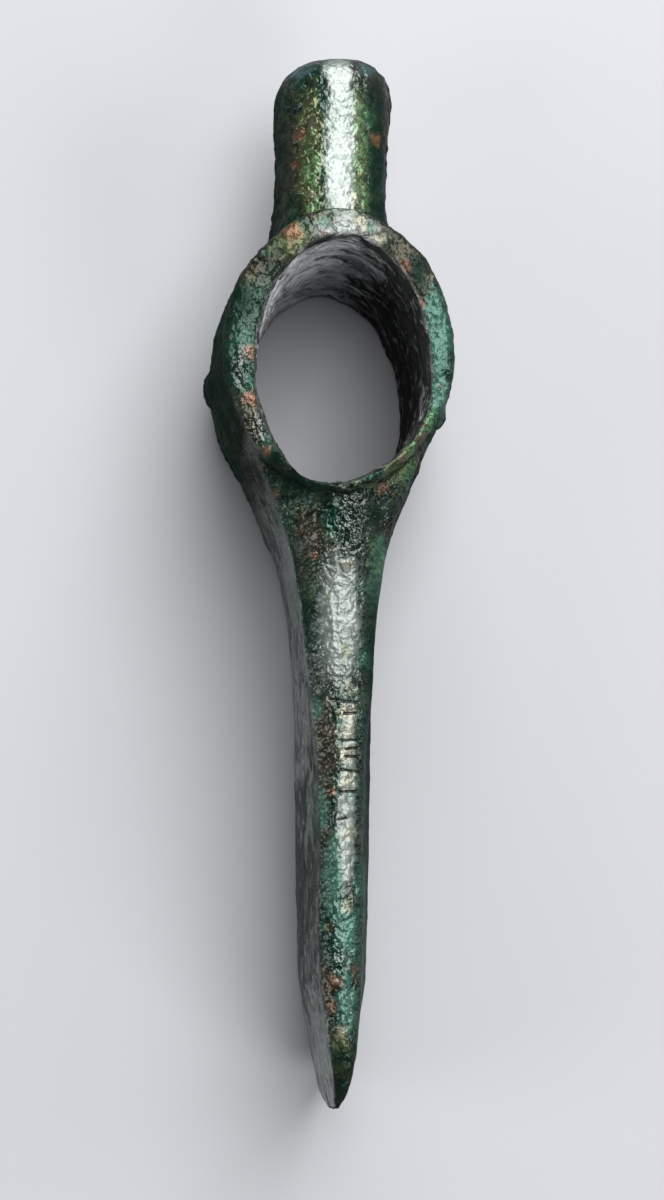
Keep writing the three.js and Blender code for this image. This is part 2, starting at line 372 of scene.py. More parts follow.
# How far a noise is shifted for each step of its seed, in metres
SEED_SHIFT = (0.31, 0.17, 0.23)

# Spacing of the nodes in the node editor
NODE_STEP = (190, 170)
NODE_ROWS = 4


class AxeReliefSizes(bpy.types.PropertyGroup):
    """Sizes of the cast and corroded surface."""

    grid: FloatProperty(name="Grid", description="Spacing of the fine mesh",
                        default=0.28 * MM, unit="LENGTH")
    triangles: IntProperty(name="Triangles", description="Triangles kept in the finished mesh",
                           default=194000)
    wave: FloatProperty(name="Wave", description="Height of the casting's broad unevenness",
                        default=0.4 * MM, unit="LENGTH")
    wave_size: FloatProperty(name="Wave size", description="Width of the casting's broad unevenness",
                             default=9.0 * MM, unit="LENGTH")
    pebble_size: FloatProperty(name="Pebble size", description="Width of the small bumps",
                               default=1.3 * MM, unit="LENGTH")
    pebble_height: FloatProperty(name="Pebble height", description="Height of the small bumps",
                                 default=0.46 * MM, unit="LENGTH")
    pit_size: FloatProperty(name="Pit spacing", description="Spacing of the corrosion pits",
                            default=2.1 * MM, unit="LENGTH")
    pit_depth: FloatProperty(name="Pit depth", description="Depth of the corrosion pits",
                             default=0.16 * MM, unit="LENGTH")
    streak_depth: FloatProperty(name="Streak depth", description="Depth of the streaks along the left flank",
                                default=0.15 * MM, unit="LENGTH")
    ripple_depth: FloatProperty(name="Ripple depth", description="Depth of the ripples in the shaft hole",
                                default=0.9 * MM, unit="LENGTH")
    tear: FloatProperty(name="Tear size", description="Width of the tears in the patches' edges",
                        default=1.3 * MM, unit="LENGTH")
    mottle: FloatProperty(name="Mottle size", description="Width of the light and dark mottling",
                          default=2.6 * MM, unit="LENGTH")
    seed: FloatProperty(name="Seed", description="Picks another casting of the same roughness", default=3.0)


class AxePatinaColours(bpy.types.PropertyGroup):
    """Colours of the bronze and its patina."""

    # Also used as painted shade in the black and glint zones
    black_green: FloatVectorProperty(name="Black green", description="Darkest patina", subtype="COLOR",
                                     default=(0.003, 0.011, 0.007))
    deep_green: FloatVectorProperty(name="Deep green", description="Main patina", subtype="COLOR",
                                    default=(0.01, 0.053, 0.034))
    olive: FloatVectorProperty(name="Olive", description="Yellowish patina", subtype="COLOR",
                               default=(0.075, 0.09, 0.035))
    brown: FloatVectorProperty(name="Brown", description="Brown oxide", subtype="COLOR",
                               default=(0.036, 0.026, 0.015))
    verdigris: FloatVectorProperty(name="Verdigris", description="Blue-green bloom", subtype="COLOR",
                                   default=(0.031, 0.082, 0.063))
    mint: FloatVectorProperty(name="Mint", description="Pale green crust", subtype="COLOR",
                              default=(0.075, 0.17, 0.075))
    copper: FloatVectorProperty(name="Copper", description="Red copper showing through", subtype="COLOR",
                                default=(0.13, 0.06, 0.036))
    brass: FloatVectorProperty(name="Bare bronze", description="Rubbed golden bronze", subtype="COLOR",
                               default=(0.145, 0.142, 0.105))
    azure: FloatVectorProperty(name="Azure", description="Bluish bloom at the poll's end", subtype="COLOR",
                               default=(0.05, 0.1, 0.11))
    # Also painted highlight along the poll's highlight strip; elsewhere scattered rubbed metal
    bright: FloatVectorProperty(name="Bright metal", description="Palest rubbed metal", subtype="COLOR",
                                default=(0.23, 0.26, 0.24))
    # Also painted highlight along the spine and the rim's top
    worn: FloatVectorProperty(name="Worn grey", description="Greyish metal where the patina is thin",
                              subtype="COLOR", default=(0.15, 0.165, 0.155))
    bore_dark: FloatVectorProperty(name="Bore dark", description="Dark metal in the shaft hole",
                                   subtype="COLOR", default=(0.028, 0.03, 0.028))
    # Also painted light and reflection on the shaft hole's side towards the light
    bore_light: FloatVectorProperty(name="Bore light", description="Grey bloom in the shaft hole",
                                    subtype="COLOR", default=(0.56, 0.58, 0.6))
    # Both flank colours carry painted reflection and painted shade as well as the flank's own streaks
    flank_dark: FloatVectorProperty(name="Flank dark", description="Dark streaks on the left flank",
                                    subtype="COLOR", default=(0.012, 0.022, 0.016))
    flank_light: FloatVectorProperty(name="Flank light", description="Light streaks on the left flank",
                                     subtype="COLOR", default=(0.085, 0.108, 0.096))
    # Laid darker into the hollows of the relief
    hollow: FloatVectorProperty(name="Hollow", description="Dirt in the hollows of the relief",
                                subtype="COLOR", default=(0.006, 0.009, 0.007))
    # Painted shadow in the grooves of the notches
    notch: FloatVectorProperty(name="Notch", description="Dirt in the notches across the spine",
                               subtype="COLOR", default=(0.006, 0.006, 0.005))
    grazing: FloatVectorProperty(name="Grazing tint", description="Tint of the metal seen along its surface",
                                 subtype="COLOR", default=(0.14, 0.2, 0.16))


class AxeStageSizes(bpy.types.PropertyGroup):
    """Floor, light and camera."""

    floor_size: FloatProperty(name="Floor size", description="Width of the floor",
                              default=6.0, unit="LENGTH")
    floor_colour: FloatVectorProperty(name="Floor colour", description="Colour of the floor",
                                      subtype="COLOR", default=(0.31, 0.315, 0.33))
    camera_distance: FloatProperty(name="Camera distance", description="From the camera to the upper rim",
                                   default=0.42, unit="LENGTH")
    lens: FloatProperty(name="Lens", description="Focal length on a 36 mm sensor, in millimetres",
                        default=95.1)


class Graph:
    """Builds a node tree: every call adds a node, feeds it, and gives back what comes out of it."""

    def __init__(self, tree):
        self.tree = tree
        self.column = 0

    def add(self, kind, feeds=(), out=0, **settings):
        node = self.tree.nodes.new(kind)
        node.location = (self.column * NODE_STEP[0], -(self.column % NODE_ROWS) * NODE_STEP[1])
        self.column += 1
        for name, value in settings.items():
            setattr(node, name, value)
        for socket, value in dict(feeds).items():
            if isinstance(value, bpy.types.NodeSocket):
                self.tree.links.new(value, node.inputs[socket])
            else:
                node.inputs[socket].default_value = value
        return node.outputs[out]

    def math(self, operation, a, b=0.0):
        return self.add("ShaderNodeMath", {0: a, 1: b}, operation=operation)

    def vector(self, operation, a, b):
        return self.add("ShaderNodeVectorMath", {0: a, 1: b}, operation=operation)

    def step(self, value, low, high, to_low=0.0, to_high=1.0):
        """Rises smoothly from to_low to to_high as the value goes from low to high."""
        feeds = {"Value": value, "From Min": low, "From Max": high, "To Min": to_low, "To Max": to_high}
        return self.add("ShaderNodeMapRange", feeds, interpolation_type="SMOOTHSTEP")

    def noise(self, place, width, detail, rough=0.55, seed=0.0, distort=0.0):
        """Noise whose features are about as wide as the width in millimetres."""
        there = self.vector("ADD", place, [shift * seed for shift in SEED_SHIFT])
        feeds = {"Vector": there, "Scale": 1.0 / (width * MM), "Detail": detail, "Roughness": rough,
                 "Distortion": distort}
        return self.add("ShaderNodeTexNoise", feeds)

    def feature(self, place, width, seed, detail=2.0):
        """Noise whose width and seed come from a tree's inputs."""
        feeds = {"Vector": place, "W": seed, "Scale": self.math("DIVIDE", 1.0, width), "Detail": detail}
        return self.add("ShaderNodeTexNoise", feeds, noise_dimensions="4D")

    def cloud(self, place, width, reach):
        """Three noises at once, for bending a place by up to the reach. Both are in millimetres."""
        feeds = {"Vector": place, "Scale": 1.0 / (width * MM), "Detail": 1.0}
        bend = self.add("ShaderNodeTexNoise", feeds, out=1)
        return self.vector("MULTIPLY", bend, [amount * MM for amount in reach])

    def stored(self, name):
        """A value kept on the mesh, read in a geometry tree."""
        return self.add("GeometryNodeInputNamedAttribute", {"Name": name}, data_type="FLOAT")

    def store(self, geometry, name, value):
        """Keeps a value on the mesh under a name."""
        feeds = {"Geometry": geometry, "Name": name, "Value": value}
        return self.add("GeometryNodeStoreNamedAttribute", feeds, data_type="FLOAT", domain="POINT")

    def mix(self, factor, a, b):
        """Mixes two colours, which are inputs 6 and 7 and output 2 of the node."""
        return self.add("ShaderNodeMix", {0: factor, 6: a, 7: b}, out=2, data_type="RGBA")

    def blend(self, factor, a, b):
        """Mixes two numbers, which are inputs 2 and 3 and output 0 of the node."""
        return self.add("ShaderNodeMix", {0: factor, 2: a, 3: b}, data_type="FLOAT")


def smooth_step(value, low, high):
    """A numpy version of the same smooth rise, where low may be the larger one."""
    t = np.clip((value - low) / (high - low), 0.0, 1.0)
    return t * t * (3 - 2 * t)


def merged_copy(node):
    """A copy of a CAD node's mesh whose triangles share their corners."""
    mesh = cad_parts[node].data.copy()
    work = bmesh.new()
    work.from_mesh(mesh)
    bmesh.ops.remove_doubles(work, verts=work.verts, dist=TINY)
    work.to_mesh(mesh)
    work.free()
    mesh.materials.clear()
    return mesh


def plain_result(obj, name):
    """The evaluated object as a new plain mesh object, in place of the old one."""
    evaluated = obj.evaluated_get(bpy.context.evaluated_depsgraph_get())
    mesh = bpy.data.meshes.new_from_object(evaluated)
    mesh.name = name
    old = obj.data
    bpy.data.objects.remove(obj)
    bpy.data.meshes.remove(old)
    made = bpy.data.objects.new(name, mesh)
    bpy.context.scene.collection.objects.link(made)
    return made


def points_of(mesh):
    """Vertex places in millimetres, and vertex normals."""
    count = len(mesh.vertices)
    places = np.empty(count * 3, np.float32)
    normals = np.empty(count * 3, np.float32)
    mesh.vertices.foreach_get("co", places)
    mesh.vertex_normals.foreach_get("vector", normals)
    return places.reshape(-1, 3) / MM, normals.reshape(-1, 3)


def move_points(mesh, places):
    """Puts the vertices at new places, given in millimetres."""
    mesh.vertices.foreach_set("co", (places * MM).astype(np.float32).ravel())
    mesh.update()


def keep_values(mesh, name, values):
    """Stores a value for each vertex under a name that the node trees read."""
    mesh.attributes.new(name, "FLOAT", "POINT").data.foreach_set("value", values.astype(np.float32))


def hole_reach(places):
    """How far out a place is from the shaft hole's middle, 1 on its wall, and at what angle round it."""
    across = (places[:, 0] - HOLE_CENTRE[0]) / HOLE_HALF_WIDTH
    along = places[:, 1] - HOLE_CENTRE[1]
    along = np.where(along > 0, along / HOLE_TO_POLL, along / HOLE_TO_BLADE)
    return np.hypot(across, along), np.arctan2(along, across)


def fill_out_socket(mesh):
    """Brings the left wall and the upper rim out a little, for a rim band as broad as the real one."""
    places, normals = points_of(mesh)
    _, y, z = places.T
    reach, _ = hole_reach(places)
    outward = places[:, :2] - HOLE_CENTRE
    outward /= np.maximum(np.hypot(outward[:, 0], outward[:, 1]), TINY)[:, None]
    socket = smooth_step(y, *SOCKET_ALONG) * smooth_step(reach, *SOCKET_REACH)
    left = smooth_step(outward[:, 0], *LEFT_FACING)
    wall = socket * left * smooth_step(y, *LEFT_WALL_ALONG)
    edge = socket * smooth_step(z, *RIM_EDGE_HEIGHT) * smooth_step(y, *RIM_EDGE_ALONG)
    edge_fill = RIM_EDGE_FILL * left + RIM_EDGE_FILL * RIGHT_EDGE_SHARE * (1 - left)
    shift = LEFT_WALL_FILL * wall + edge * edge_fill
    places[:, :2] += outward * shift[:, None]
    top = smooth_step(z, *RIM_TOP_HEIGHT) * smooth_step(normals[:, 2], *RIM_TOP_FACING) * socket
    places[:, 2] += RIM_TOP_FILL * top * np.clip(SOCKET_TOP - z, 0, RIM_TOP_GAP)
    move_points(mesh, places)


def rest_on_floor(mesh):
    """Flattens what the relief pushed below the floor."""
    places, _ = points_of(mesh)
    low = np.minimum(places[:, 2], FLOOR_SOFTNESS)
    pressed = FLOOR_SOFTNESS * np.exp((low - FLOOR_SOFTNESS) / FLOOR_SOFTNESS)
    places[:, 2] = np.where(places[:, 2] < FLOOR_SOFTNESS, pressed, places[:, 2])
    move_points(mesh, places)


def mark_regions(mesh):
    """Marks the shaft hole's wall and its side with painted light, what is waxed, the spine, the rim, the
    blade's sides, the left flank with its band of painted shade, and the notches.
    """
    places, normals = points_of(mesh)
    x, y, z = places.T
    facing_x, facing_y, up = normals.T
    reach, angle = hole_reach(places)
    inward = -(facing_x * np.cos(angle) + facing_y * np.sin(angle))
    bore = smooth_step(reach, *BORE_REACH) * smooth_step(inward, *BORE_FACING)
    pale = smooth_step(np.cos(angle - math.radians(BORE_PALE_ANGLE)), *BORE_PALE_SPREAD)
    keep_values(mesh, "bore", bore)
    keep_values(mesh, "bore_lit_side", bore * (pale * smooth_step(z, *BORE_PALE_HEIGHT)))
    keep_values(mesh, "waxed", smooth_step(up, *WAXED_FACING))
    keep_values(mesh, "spine", smooth_step(up, *SPINE_FACING) * smooth_step(z, *SPINE_HEIGHT))
    level_top = smooth_step(up, *RIM_FACING) * smooth_step(z, *RIM_HEIGHT)
    keep_values(mesh, "rim", level_top * smooth_step(y, *RIM_BY_NECK) * smooth_step(y, *RIM_BY_POLL))
    keep_values(mesh, "side", smooth_step(y, *SIDE_ALONG) * smooth_step(np.abs(facing_x), *SIDE_FACING))
    keep_values(mesh, "flank", smooth_step(y, *FLANK_ALONG) * smooth_step(facing_x, *FLANK_FACING))
    shade = np.exp(-(((y - FLANK_SHADE_MIDDLE) / FLANK_SHADE_REACH) ** 2))
    keep_values(mesh, "flank_shade", shade * smooth_step(facing_x, *FLANK_SHADE_FACING))
    cut = np.zeros(len(places))
    for middle_x, middle_y, half, slant in NOTCHES:
        along = x - middle_x
        across = y - middle_y - slant * along
        groove = np.exp(-((across / NOTCH_HALF_WIDTH) ** 2)) * smooth_step(half - np.abs(along), *NOTCH_END)
        cut = np.maximum(cut, groove * smooth_step(z, *NOTCH_HEIGHT))
    keep_values(mesh, "notch", cut)


def mark_colours(mesh):
    """Marks where each colour or finish of its own shows on the upper side, painted highlights and painted
    shade among them.
    """
    places, normals = points_of(mesh)
    x, y, z = places.T
    up = normals[:, 2]
    upper = smooth_step(z, *UPPER_HEIGHT) * smooth_step(up, *UPPER_FACING)
    facing_up = smooth_step(up, *SPOT_FACING)
    for colour in sorted({*SPOTS, *ZONES, *SCATTER}):
        mask = np.zeros(len(places))
        for middle_x, middle_y, radius in SPOTS.get(colour, ()):
            away = np.hypot(x - middle_x, y - middle_y)
            spot = 1.0 - smooth_step(away, SPOT_FADE[0] * radius, SPOT_FADE[1] * radius)
            mask = np.maximum(mask, facing_up * spot)
        for middle_x, middle_y, wide, long in ZONES.get(colour, ()):
            away = np.hypot((x - middle_x) / wide, (y - middle_y) / long)
            mask = np.maximum(mask, 1.0 - smooth_step(away, *ZONE_FADE))
        keep_values(mesh, colour, mask * upper)


def tree_with_inputs(name, labels):
    """A geometry tree with a named input for each size, and what its inputs give."""
    tree = bpy.data.node_groups.new(name, "GeometryNodeTree")
    make = tree.interface.new_socket
    make("Geometry", in_out="OUTPUT", socket_type="NodeSocketGeometry")
    make("Geometry", in_out="INPUT", socket_type="NodeSocketGeometry")
    for label in labels.values():
        make(label, in_out="INPUT", socket_type="NodeSocketFloat")
    make("Material", in_out="INPUT", socket_type="NodeSocketMaterial")
    given = tree.nodes.new("NodeGroupInput")
    return tree, given, {key: given.outputs[label] for key, label in labels.items()}


def finish_tree(g, geometry, given):
    """Ends a geometry tree: real geometry with its material on it."""
    real = g.add("GeometryNodeRealizeInstances", {"Geometry": geometry})
    painted = g.add("GeometryNodeSetMaterial", {"Geometry": real, "Material": given.outputs["Material"]})
    end = g.tree.nodes.new("NodeGroupOutput")
    g.tree.links.new(painted, end.inputs["Geometry"])


def relief_tree():
    """Moves the surface in and out along its normals: waves, pebbles, pits, streaks, ripples and notches."""
    tree, given, size = tree_with_inputs("Cast Relief", RELIEF_INPUTS)
    g = Graph(tree)
    place = g.add("GeometryNodeInputPosition")
    normal = g.add("GeometryNodeInputNormal")

    def centred(value, reach):
        """Turns a noise from 0 to 1 into a height that goes as far out as in."""
        return g.math("MULTIPLY", g.math("SUBTRACT", value, 0.5), g.math("MULTIPLY", reach, 2.0))

    bore, flank, notch = g.stored("bore"), g.stored("flank"), g.stored("notch")
    calm = bore
    for name, share in CALM.items():
        calm = g.math("MAXIMUM", calm, g.math("MULTIPLY", g.stored(name), share))
    plain = g.math("SUBTRACT", 1.0, calm)
    wave = centred(g.feature(place, size["wave_size"], size["seed"]), size["wave"])
    pebble = centred(g.feature(place, size["pebble_size"], size["seed"], detail=2.5), size["pebble_height"])
    patch = g.noise(place, PEBBLE_PATCH_WIDTH, detail=2.0, seed=5.0)
    patch = g.step(patch, *PEBBLE_PATCH, *PEBBLE_SHARE)
    pebble = g.math("MULTIPLY", g.math("MULTIPLY", pebble, patch), plain)

    bent = g.vector("ADD", place, g.cloud(place, PIT_BEND_WIDTH, (PIT_BEND, PIT_BEND, PIT_BEND)))
    cell = {"Vector": bent, "Scale": g.math("DIVIDE", 1.0, size["pit_size"]), "Randomness": 1.0}
    near = g.step(g.add("ShaderNodeTexVoronoi", cell), *PIT_MOUTH, to_low=1.0, to_high=0.0)
    few = g.step(g.noise(place, PIT_PATCH_WIDTH, detail=1.0, seed=9.0), *PIT_PATCH)
    pit = g.math("MULTIPLY", near, few)
    pit = g.math("MULTIPLY", g.math("MULTIPLY", pit, size["pit_depth"]), plain)

    lengthwise = g.vector("MULTIPLY", place, STREAK_STRETCH)
    streak = g.noise(lengthwise, STREAK_WIDTH, detail=3.0, seed=2.0, distort=0.4)
    streak = g.math("MULTIPLY", centred(streak, size["streak_depth"]), flank)

    round_hole = g.vector("MULTIPLY", place, RIPPLE_STRETCH)
    ripple = g.noise(round_hole, RIPPLE_WIDTH, detail=4.0, rough=0.6, seed=4.0, distort=0.8)
    ripple = g.math("MULTIPLY", centred(ripple, size["ripple_depth"]), bore)

    lines = g.math("ADD", streak, ripple)
    height = g.math("SUBTRACT", g.math("ADD", g.math("ADD", wave, pebble), lines), pit)
    height = g.math("SUBTRACT", height, g.math("MULTIPLY", notch, NOTCH_DEPTH * MM))
    fine = g.math("SUBTRACT", g.math("ADD", pebble, lines), pit)
    move = g.add("ShaderNodeVectorMath", {0: normal, "Scale": height}, operation="SCALE")
    moved = g.add("GeometryNodeSetPosition", {"Geometry": given.outputs["Geometry"], "Offset": move})
    kept = g.store(moved, "relief", g.math("DIVIDE", fine, size["pebble_height"]))
    finish_tree(g, kept, given)
    return tree


def patina_tree():
    """Keeps the patches of each colour on the mesh: ragged marked ones and scattered ones."""
    tree, given, size = tree_with_inputs("Patina Patches", PATCH_INPUTS)
    g = Graph(tree)
    place = g.add("GeometryNodeInputPosition")
    torn = g.feature(place, size["tear"], size["seed"], detail=4.0)
    mottle = g.feature(place, size["mottle"], size["seed"], detail=5.0)
    geometry = g.store(given.outputs["Geometry"], "mottle", mottle)
    for number, (colour, (width, rare, ragged)) in enumerate(SCATTER.items()):
        marked = g.stored(colour)
        own = g.math("ADD", marked, g.math("MULTIPLY", g.math("SUBTRACT", torn, 0.5), ragged))
        own = g.math("MULTIPLY", g.step(own, *MARKED_EDGE), g.step(marked, *MARKED_REACH))
        loose = g.noise(place, width, detail=3.0, rough=0.65, seed=SCATTER_SEED + number)
        loose = g.step(loose, rare, rare + SCATTER_EDGE)
        geometry = g.store(geometry, colour, g.math("MAXIMUM", own, loose))
    finish_tree(g, geometry, given)
    return tree


def add_tree(obj, tree, labels, sizes, material):
    """Adds a geometry tree to an object with its inputs set."""
    modifier = obj.modifiers.new(tree.name, "NODES")
    modifier.node_group = tree
    values = {label: getattr(sizes, key) for key, label in labels.items()}
    values["Material"] = material
    for socket in tree.interface.items_tree:
        if socket.in_out == "INPUT" and socket.name in values:
            modifier[socket.identifier] = values[socket.name]


def notch_group():
    """One notch as a shader group: 1 along a short line across the spine, 0 away from it, in metres."""
    tree = bpy.data.node_groups.new("Spine Notch", "ShaderNodeTree")
    make = tree.interface.new_socket
    make("Place", in_out="INPUT", socket_type="NodeSocketVector")
    for name in ("Half Length", "Half Width", "Slant"):
        make(name, in_out="INPUT", socket_type="NodeSocketFloat")
    make("Centre", in_out="INPUT", socket_type="NodeSocketVector")
    make("Notch", in_out="OUTPUT", socket_type="NodeSocketFloat")
    g = Graph(tree)
    given = tree.nodes.new("NodeGroupInput").outputs
    away = g.vector("SUBTRACT", given["Place"], given["Centre"])
    parts = tree.nodes.new("ShaderNodeSeparateXYZ")
    tree.links.new(away, parts.inputs[0])
    across = g.math("SUBTRACT", parts.outputs["Y"], g.math("MULTIPLY", parts.outputs["X"], given["Slant"]))
    near = g.math("DIVIDE", g.math("ABSOLUTE", across), given["Half Width"])
    end = g.math("DIVIDE", g.math("ABSOLUTE", parts.outputs["X"]), given["Half Length"])
    width = g.step(near, *NOTCH_FADE_ACROSS, to_low=1.0, to_high=0.0)
    length = g.step(end, *NOTCH_FADE_ALONG, to_low=1.0, to_high=0.0)
    out = tree.nodes.new("NodeGroupOutput")
    tree.links.new(g.math("MULTIPLY", width, length), out.inputs["Notch"])
    return tree


def notch_lines(g, place):
    """All the notches as slightly wavering lines."""
    group = notch_group()
    waver = g.cloud(place, NOTCH_WAVER_WIDTH, (NOTCH_WAVER, NOTCH_WAVER, 0.0))
    middle = (NOTCH_WAVER / 2 * MM, NOTCH_WAVER / 2 * MM, 0.0)
    wavering = g.vector("ADD", place, g.vector("SUBTRACT", waver, middle))
    lines = None
    for x, y, half, slant in NOTCHES:
        feeds = {"Place": wavering, "Half Length": half * MM, "Half Width": NOTCH_HALF_WIDTH * MM,
                 "Slant": slant, "Centre": (x * MM, y * MM, 0)}
        line = g.add("ShaderNodeGroup", feeds, node_tree=group)
        lines = line if lines is None else g.math("MAXIMUM", lines, line)
    return lines


def surface_pattern(g, place):
    """Small bumps with cells between them, the finer grain, and where the crests of both are."""
    small = g.noise(place, BUMP_WIDTH, detail=2.0, rough=0.5, seed=3.0)
    grain = g.noise(place, GRAIN_WIDTH, detail=2.0, rough=0.6, seed=4.0)
    bent = g.vector("ADD", place, g.cloud(place, CELL_BEND_WIDTH, (CELL_BEND, CELL_BEND, CELL_BEND)))
    cell = g.add("ShaderNodeTexVoronoi", {"Vector": bent, "Scale": 1.0 / (CELL_WIDTH * MM)}, feature="F1")
    peak = g.math("SUBTRACT", small, g.math("MULTIPLY", cell, CELL_SHARE))
    crest = g.step(g.math("ADD", peak, g.math("MULTIPLY", grain, GRAIN_SHARE)), *CREST)
    return peak, grain, crest


def work_out_finishes(g, place, where):
    """Makes the mint mask a veined crust, thins the black one, and adds all crust and all bare metal."""
    torn = g.noise(place, VEIN_WIDTH, detail=3.0, rough=0.7, seed=5.0)
    vein = g.math("ABSOLUTE", g.math("SUBTRACT", torn, 0.5))
    vein = g.step(vein, 0.0, VEIN_REACH, to_low=1.0, to_high=0.0)
    veined = g.math("MULTIPLY", g.step(where["mint"], *MINT), vein)
    flecks = g.step(torn, *FLECKS)
    where["mint"] = g.math("MAXIMUM", veined, flecks)
    thinned = g.step(where["mottle"], *BLACK_MOTTLE, *BLACK_COVER)
    where["black"] = g.math("MULTIPLY", where["black"], thinned)
    where["crust"] = g.math("MAXIMUM", where["verdigris"], where["mint"])
    where["bare"] = g.math("MAXIMUM", where["copper"], where["brass"])


def patina_material(colours):
    """Waxed green patina with copper, verdigris and rubbed bronze showing in places, and painted highlights,
    painted shade and painted reflections in places.
    """
    material = bpy.data.materials.new("Waxed green patina")
    material.use_nodes = True
    tree = material.node_tree
    tree.nodes.clear()
    g = Graph(tree)
    place = g.add("ShaderNodeTexCoord", out="Object")
    where = {name: g.add("ShaderNodeAttribute", out="Fac", attribute_name=name) for name in MASKS}
    tint = {name: (*getattr(colours, name), 1.0) for name in AxePatinaColours.__annotations__}
    peak, grain, crest = surface_pattern(g, place)
    work_out_finishes(g, place, where)
    bore, flank = where["bore"], where["flank"]

    def covered(colour, patches):
        """Lays each patch's colour over the others, thinner in the hollows of the surface."""
        for name, (in_hollows, on_crests) in patches.items():
            shown = g.math("MULTIPLY", where[name], g.blend(crest, in_hollows, on_crests))
            colour = g.mix(shown, colour, tint[name])
        return colour

    def layered(value, finishes):
        """Lays each finish's own value over the others where that finish shows."""
        for name, own in finishes.items():
            value = g.blend(where[name], value, own)
        return value

    broad = g.noise(place, GROUND_WIDTH, detail=2.0, rough=0.5, seed=18.0)
    ground = g.mix(g.step(broad, *BROWN_GROUND), tint["deep_green"], tint["brown"])
    colour = g.mix(g.step(where["mottle"], *DARK_MOTTLE), tint["black_green"], ground)
    # Partly painted highlight in the worn grey
    colour = covered(colour, BLOOMS)
    # Painted shade: black green laid over the black zones
    colour = g.mix(where["black"], colour, tint["black_green"])
    # Partly painted highlight: the palest metal lies along the poll's highlight
    colour = covered(colour, METALS)

    # Painted reflection and shade on the left flank: lighter long patches stand in for a reflection along it,
    # a darker band for shade, over its own streaks
    lengthwise = g.vector("MULTIPLY", place, FINE_STREAK_STRETCH)
    streaks = g.noise(lengthwise, FINE_STREAK_WIDTH, detail=3.0, rough=0.65, seed=15.0, distort=0.4)
    long_patches = g.noise(place, FLANK_PATCH_WIDTH, detail=1.0, rough=0.5, seed=17.0)
    light = g.math("ADD", streaks, g.math("MULTIPLY", long_patches, FLANK_PATCH_SHARE))
    light = g.math("SUBTRACT", light, g.math("MULTIPLY", where["flank_shade"], FLANK_SHADE_SHARE))
    streaked = g.mix(g.step(light, *LIGHT_STREAKS), tint["flank_dark"], tint["flank_light"])
    colour = g.mix(g.math("MULTIPLY", flank, FLANK_COVER), colour, streaked)
    # Painted shade: darker colour under the glints, where the slopes turn from the light
    colour = g.mix(g.math("MULTIPLY", where["glint"], GLINT_COVER), colour, tint["black_green"])

    around = g.vector("MULTIPLY", place, FINE_RIPPLE_STRETCH)
    ripples = g.noise(around, FINE_RIPPLE_WIDTH, detail=3.0, rough=0.65, seed=16.0, distort=0.8)
    # Painted light: the shaft hole's side towards the light is laid paler grey, over the ripples' own light
    # and dark
    pale = g.math("ADD", g.math("MULTIPLY", where["bore_lit_side"], BORE_PALE_SHARE), ripples)
    inside = g.mix(g.step(pale, *PALE_RIPPLES), tint["bore_dark"], tint["bore_light"])
    colour = g.mix(bore, colour, inside)

    # Darker in the hollows of the relief
    hollow = g.step(where["relief"], *HOLLOWS, to_low=HOLLOW_COVER, to_high=0.0)
    colour = g.mix(hollow, colour, tint["hollow"])
    # Painted shadow: the notches' lines are laid near black
    cut = g.math("MULTIPLY", notch_lines(g, place), where["spine"])
    colour = g.mix(g.math("MULTIPLY", cut, NOTCH_COVER), colour, tint["notch"])

    rough = layered(g.step(where["mottle"], *ROUGH_MOTTLE, *PLAIN_ROUGHNESS), ROUGHNESS)
    metal = layered(PLAIN_METALNESS, METALNESS)
    wax = layered(PLAIN_WAX, WAX)
    wax = g.blend(flank, wax, g.step(light, *WAXED_STREAKS, *FLANK_WAX))

    level = g.math("MULTIPLY", peak, layered(PLAIN_BUMP, BUMP))
    level = g.math("ADD", level, g.math("MULTIPLY", grain, GRAIN_BUMP))
    level = g.math("MULTIPLY", level, g.math("SUBTRACT", 1.0, g.math("MULTIPLY", flank, FLANK_CALM)))
    level = g.math("ADD", level, g.math("MULTIPLY", g.math("MULTIPLY", streaks, flank), STREAK_BUMP))
    level = g.math("ADD", level, g.math("MULTIPLY", g.math("MULTIPLY", ripples, bore), RIPPLE_BUMP))
    level = g.math("SUBTRACT", level, g.math("MULTIPLY", cut, NOTCH_BUMP))
    bump = g.add("ShaderNodeBump", {"Strength": 1.0, "Distance": MM, "Height": level})
    feeds = {"Base Color": colour, "Roughness": rough, "Metallic": metal, "Normal": bump,
             "Specular IOR Level": 0.0, "Specular Tint": tint["grazing"], "Coat Weight": wax,
             "Coat Roughness": WAX_ROUGHNESS, "Coat Normal": bump}
    surface = g.add("ShaderNodeBsdfPrincipled", feeds)
    end = tree.nodes.new("ShaderNodeOutputMaterial")
    tree.links.new(surface, end.inputs["Surface"])
    return material


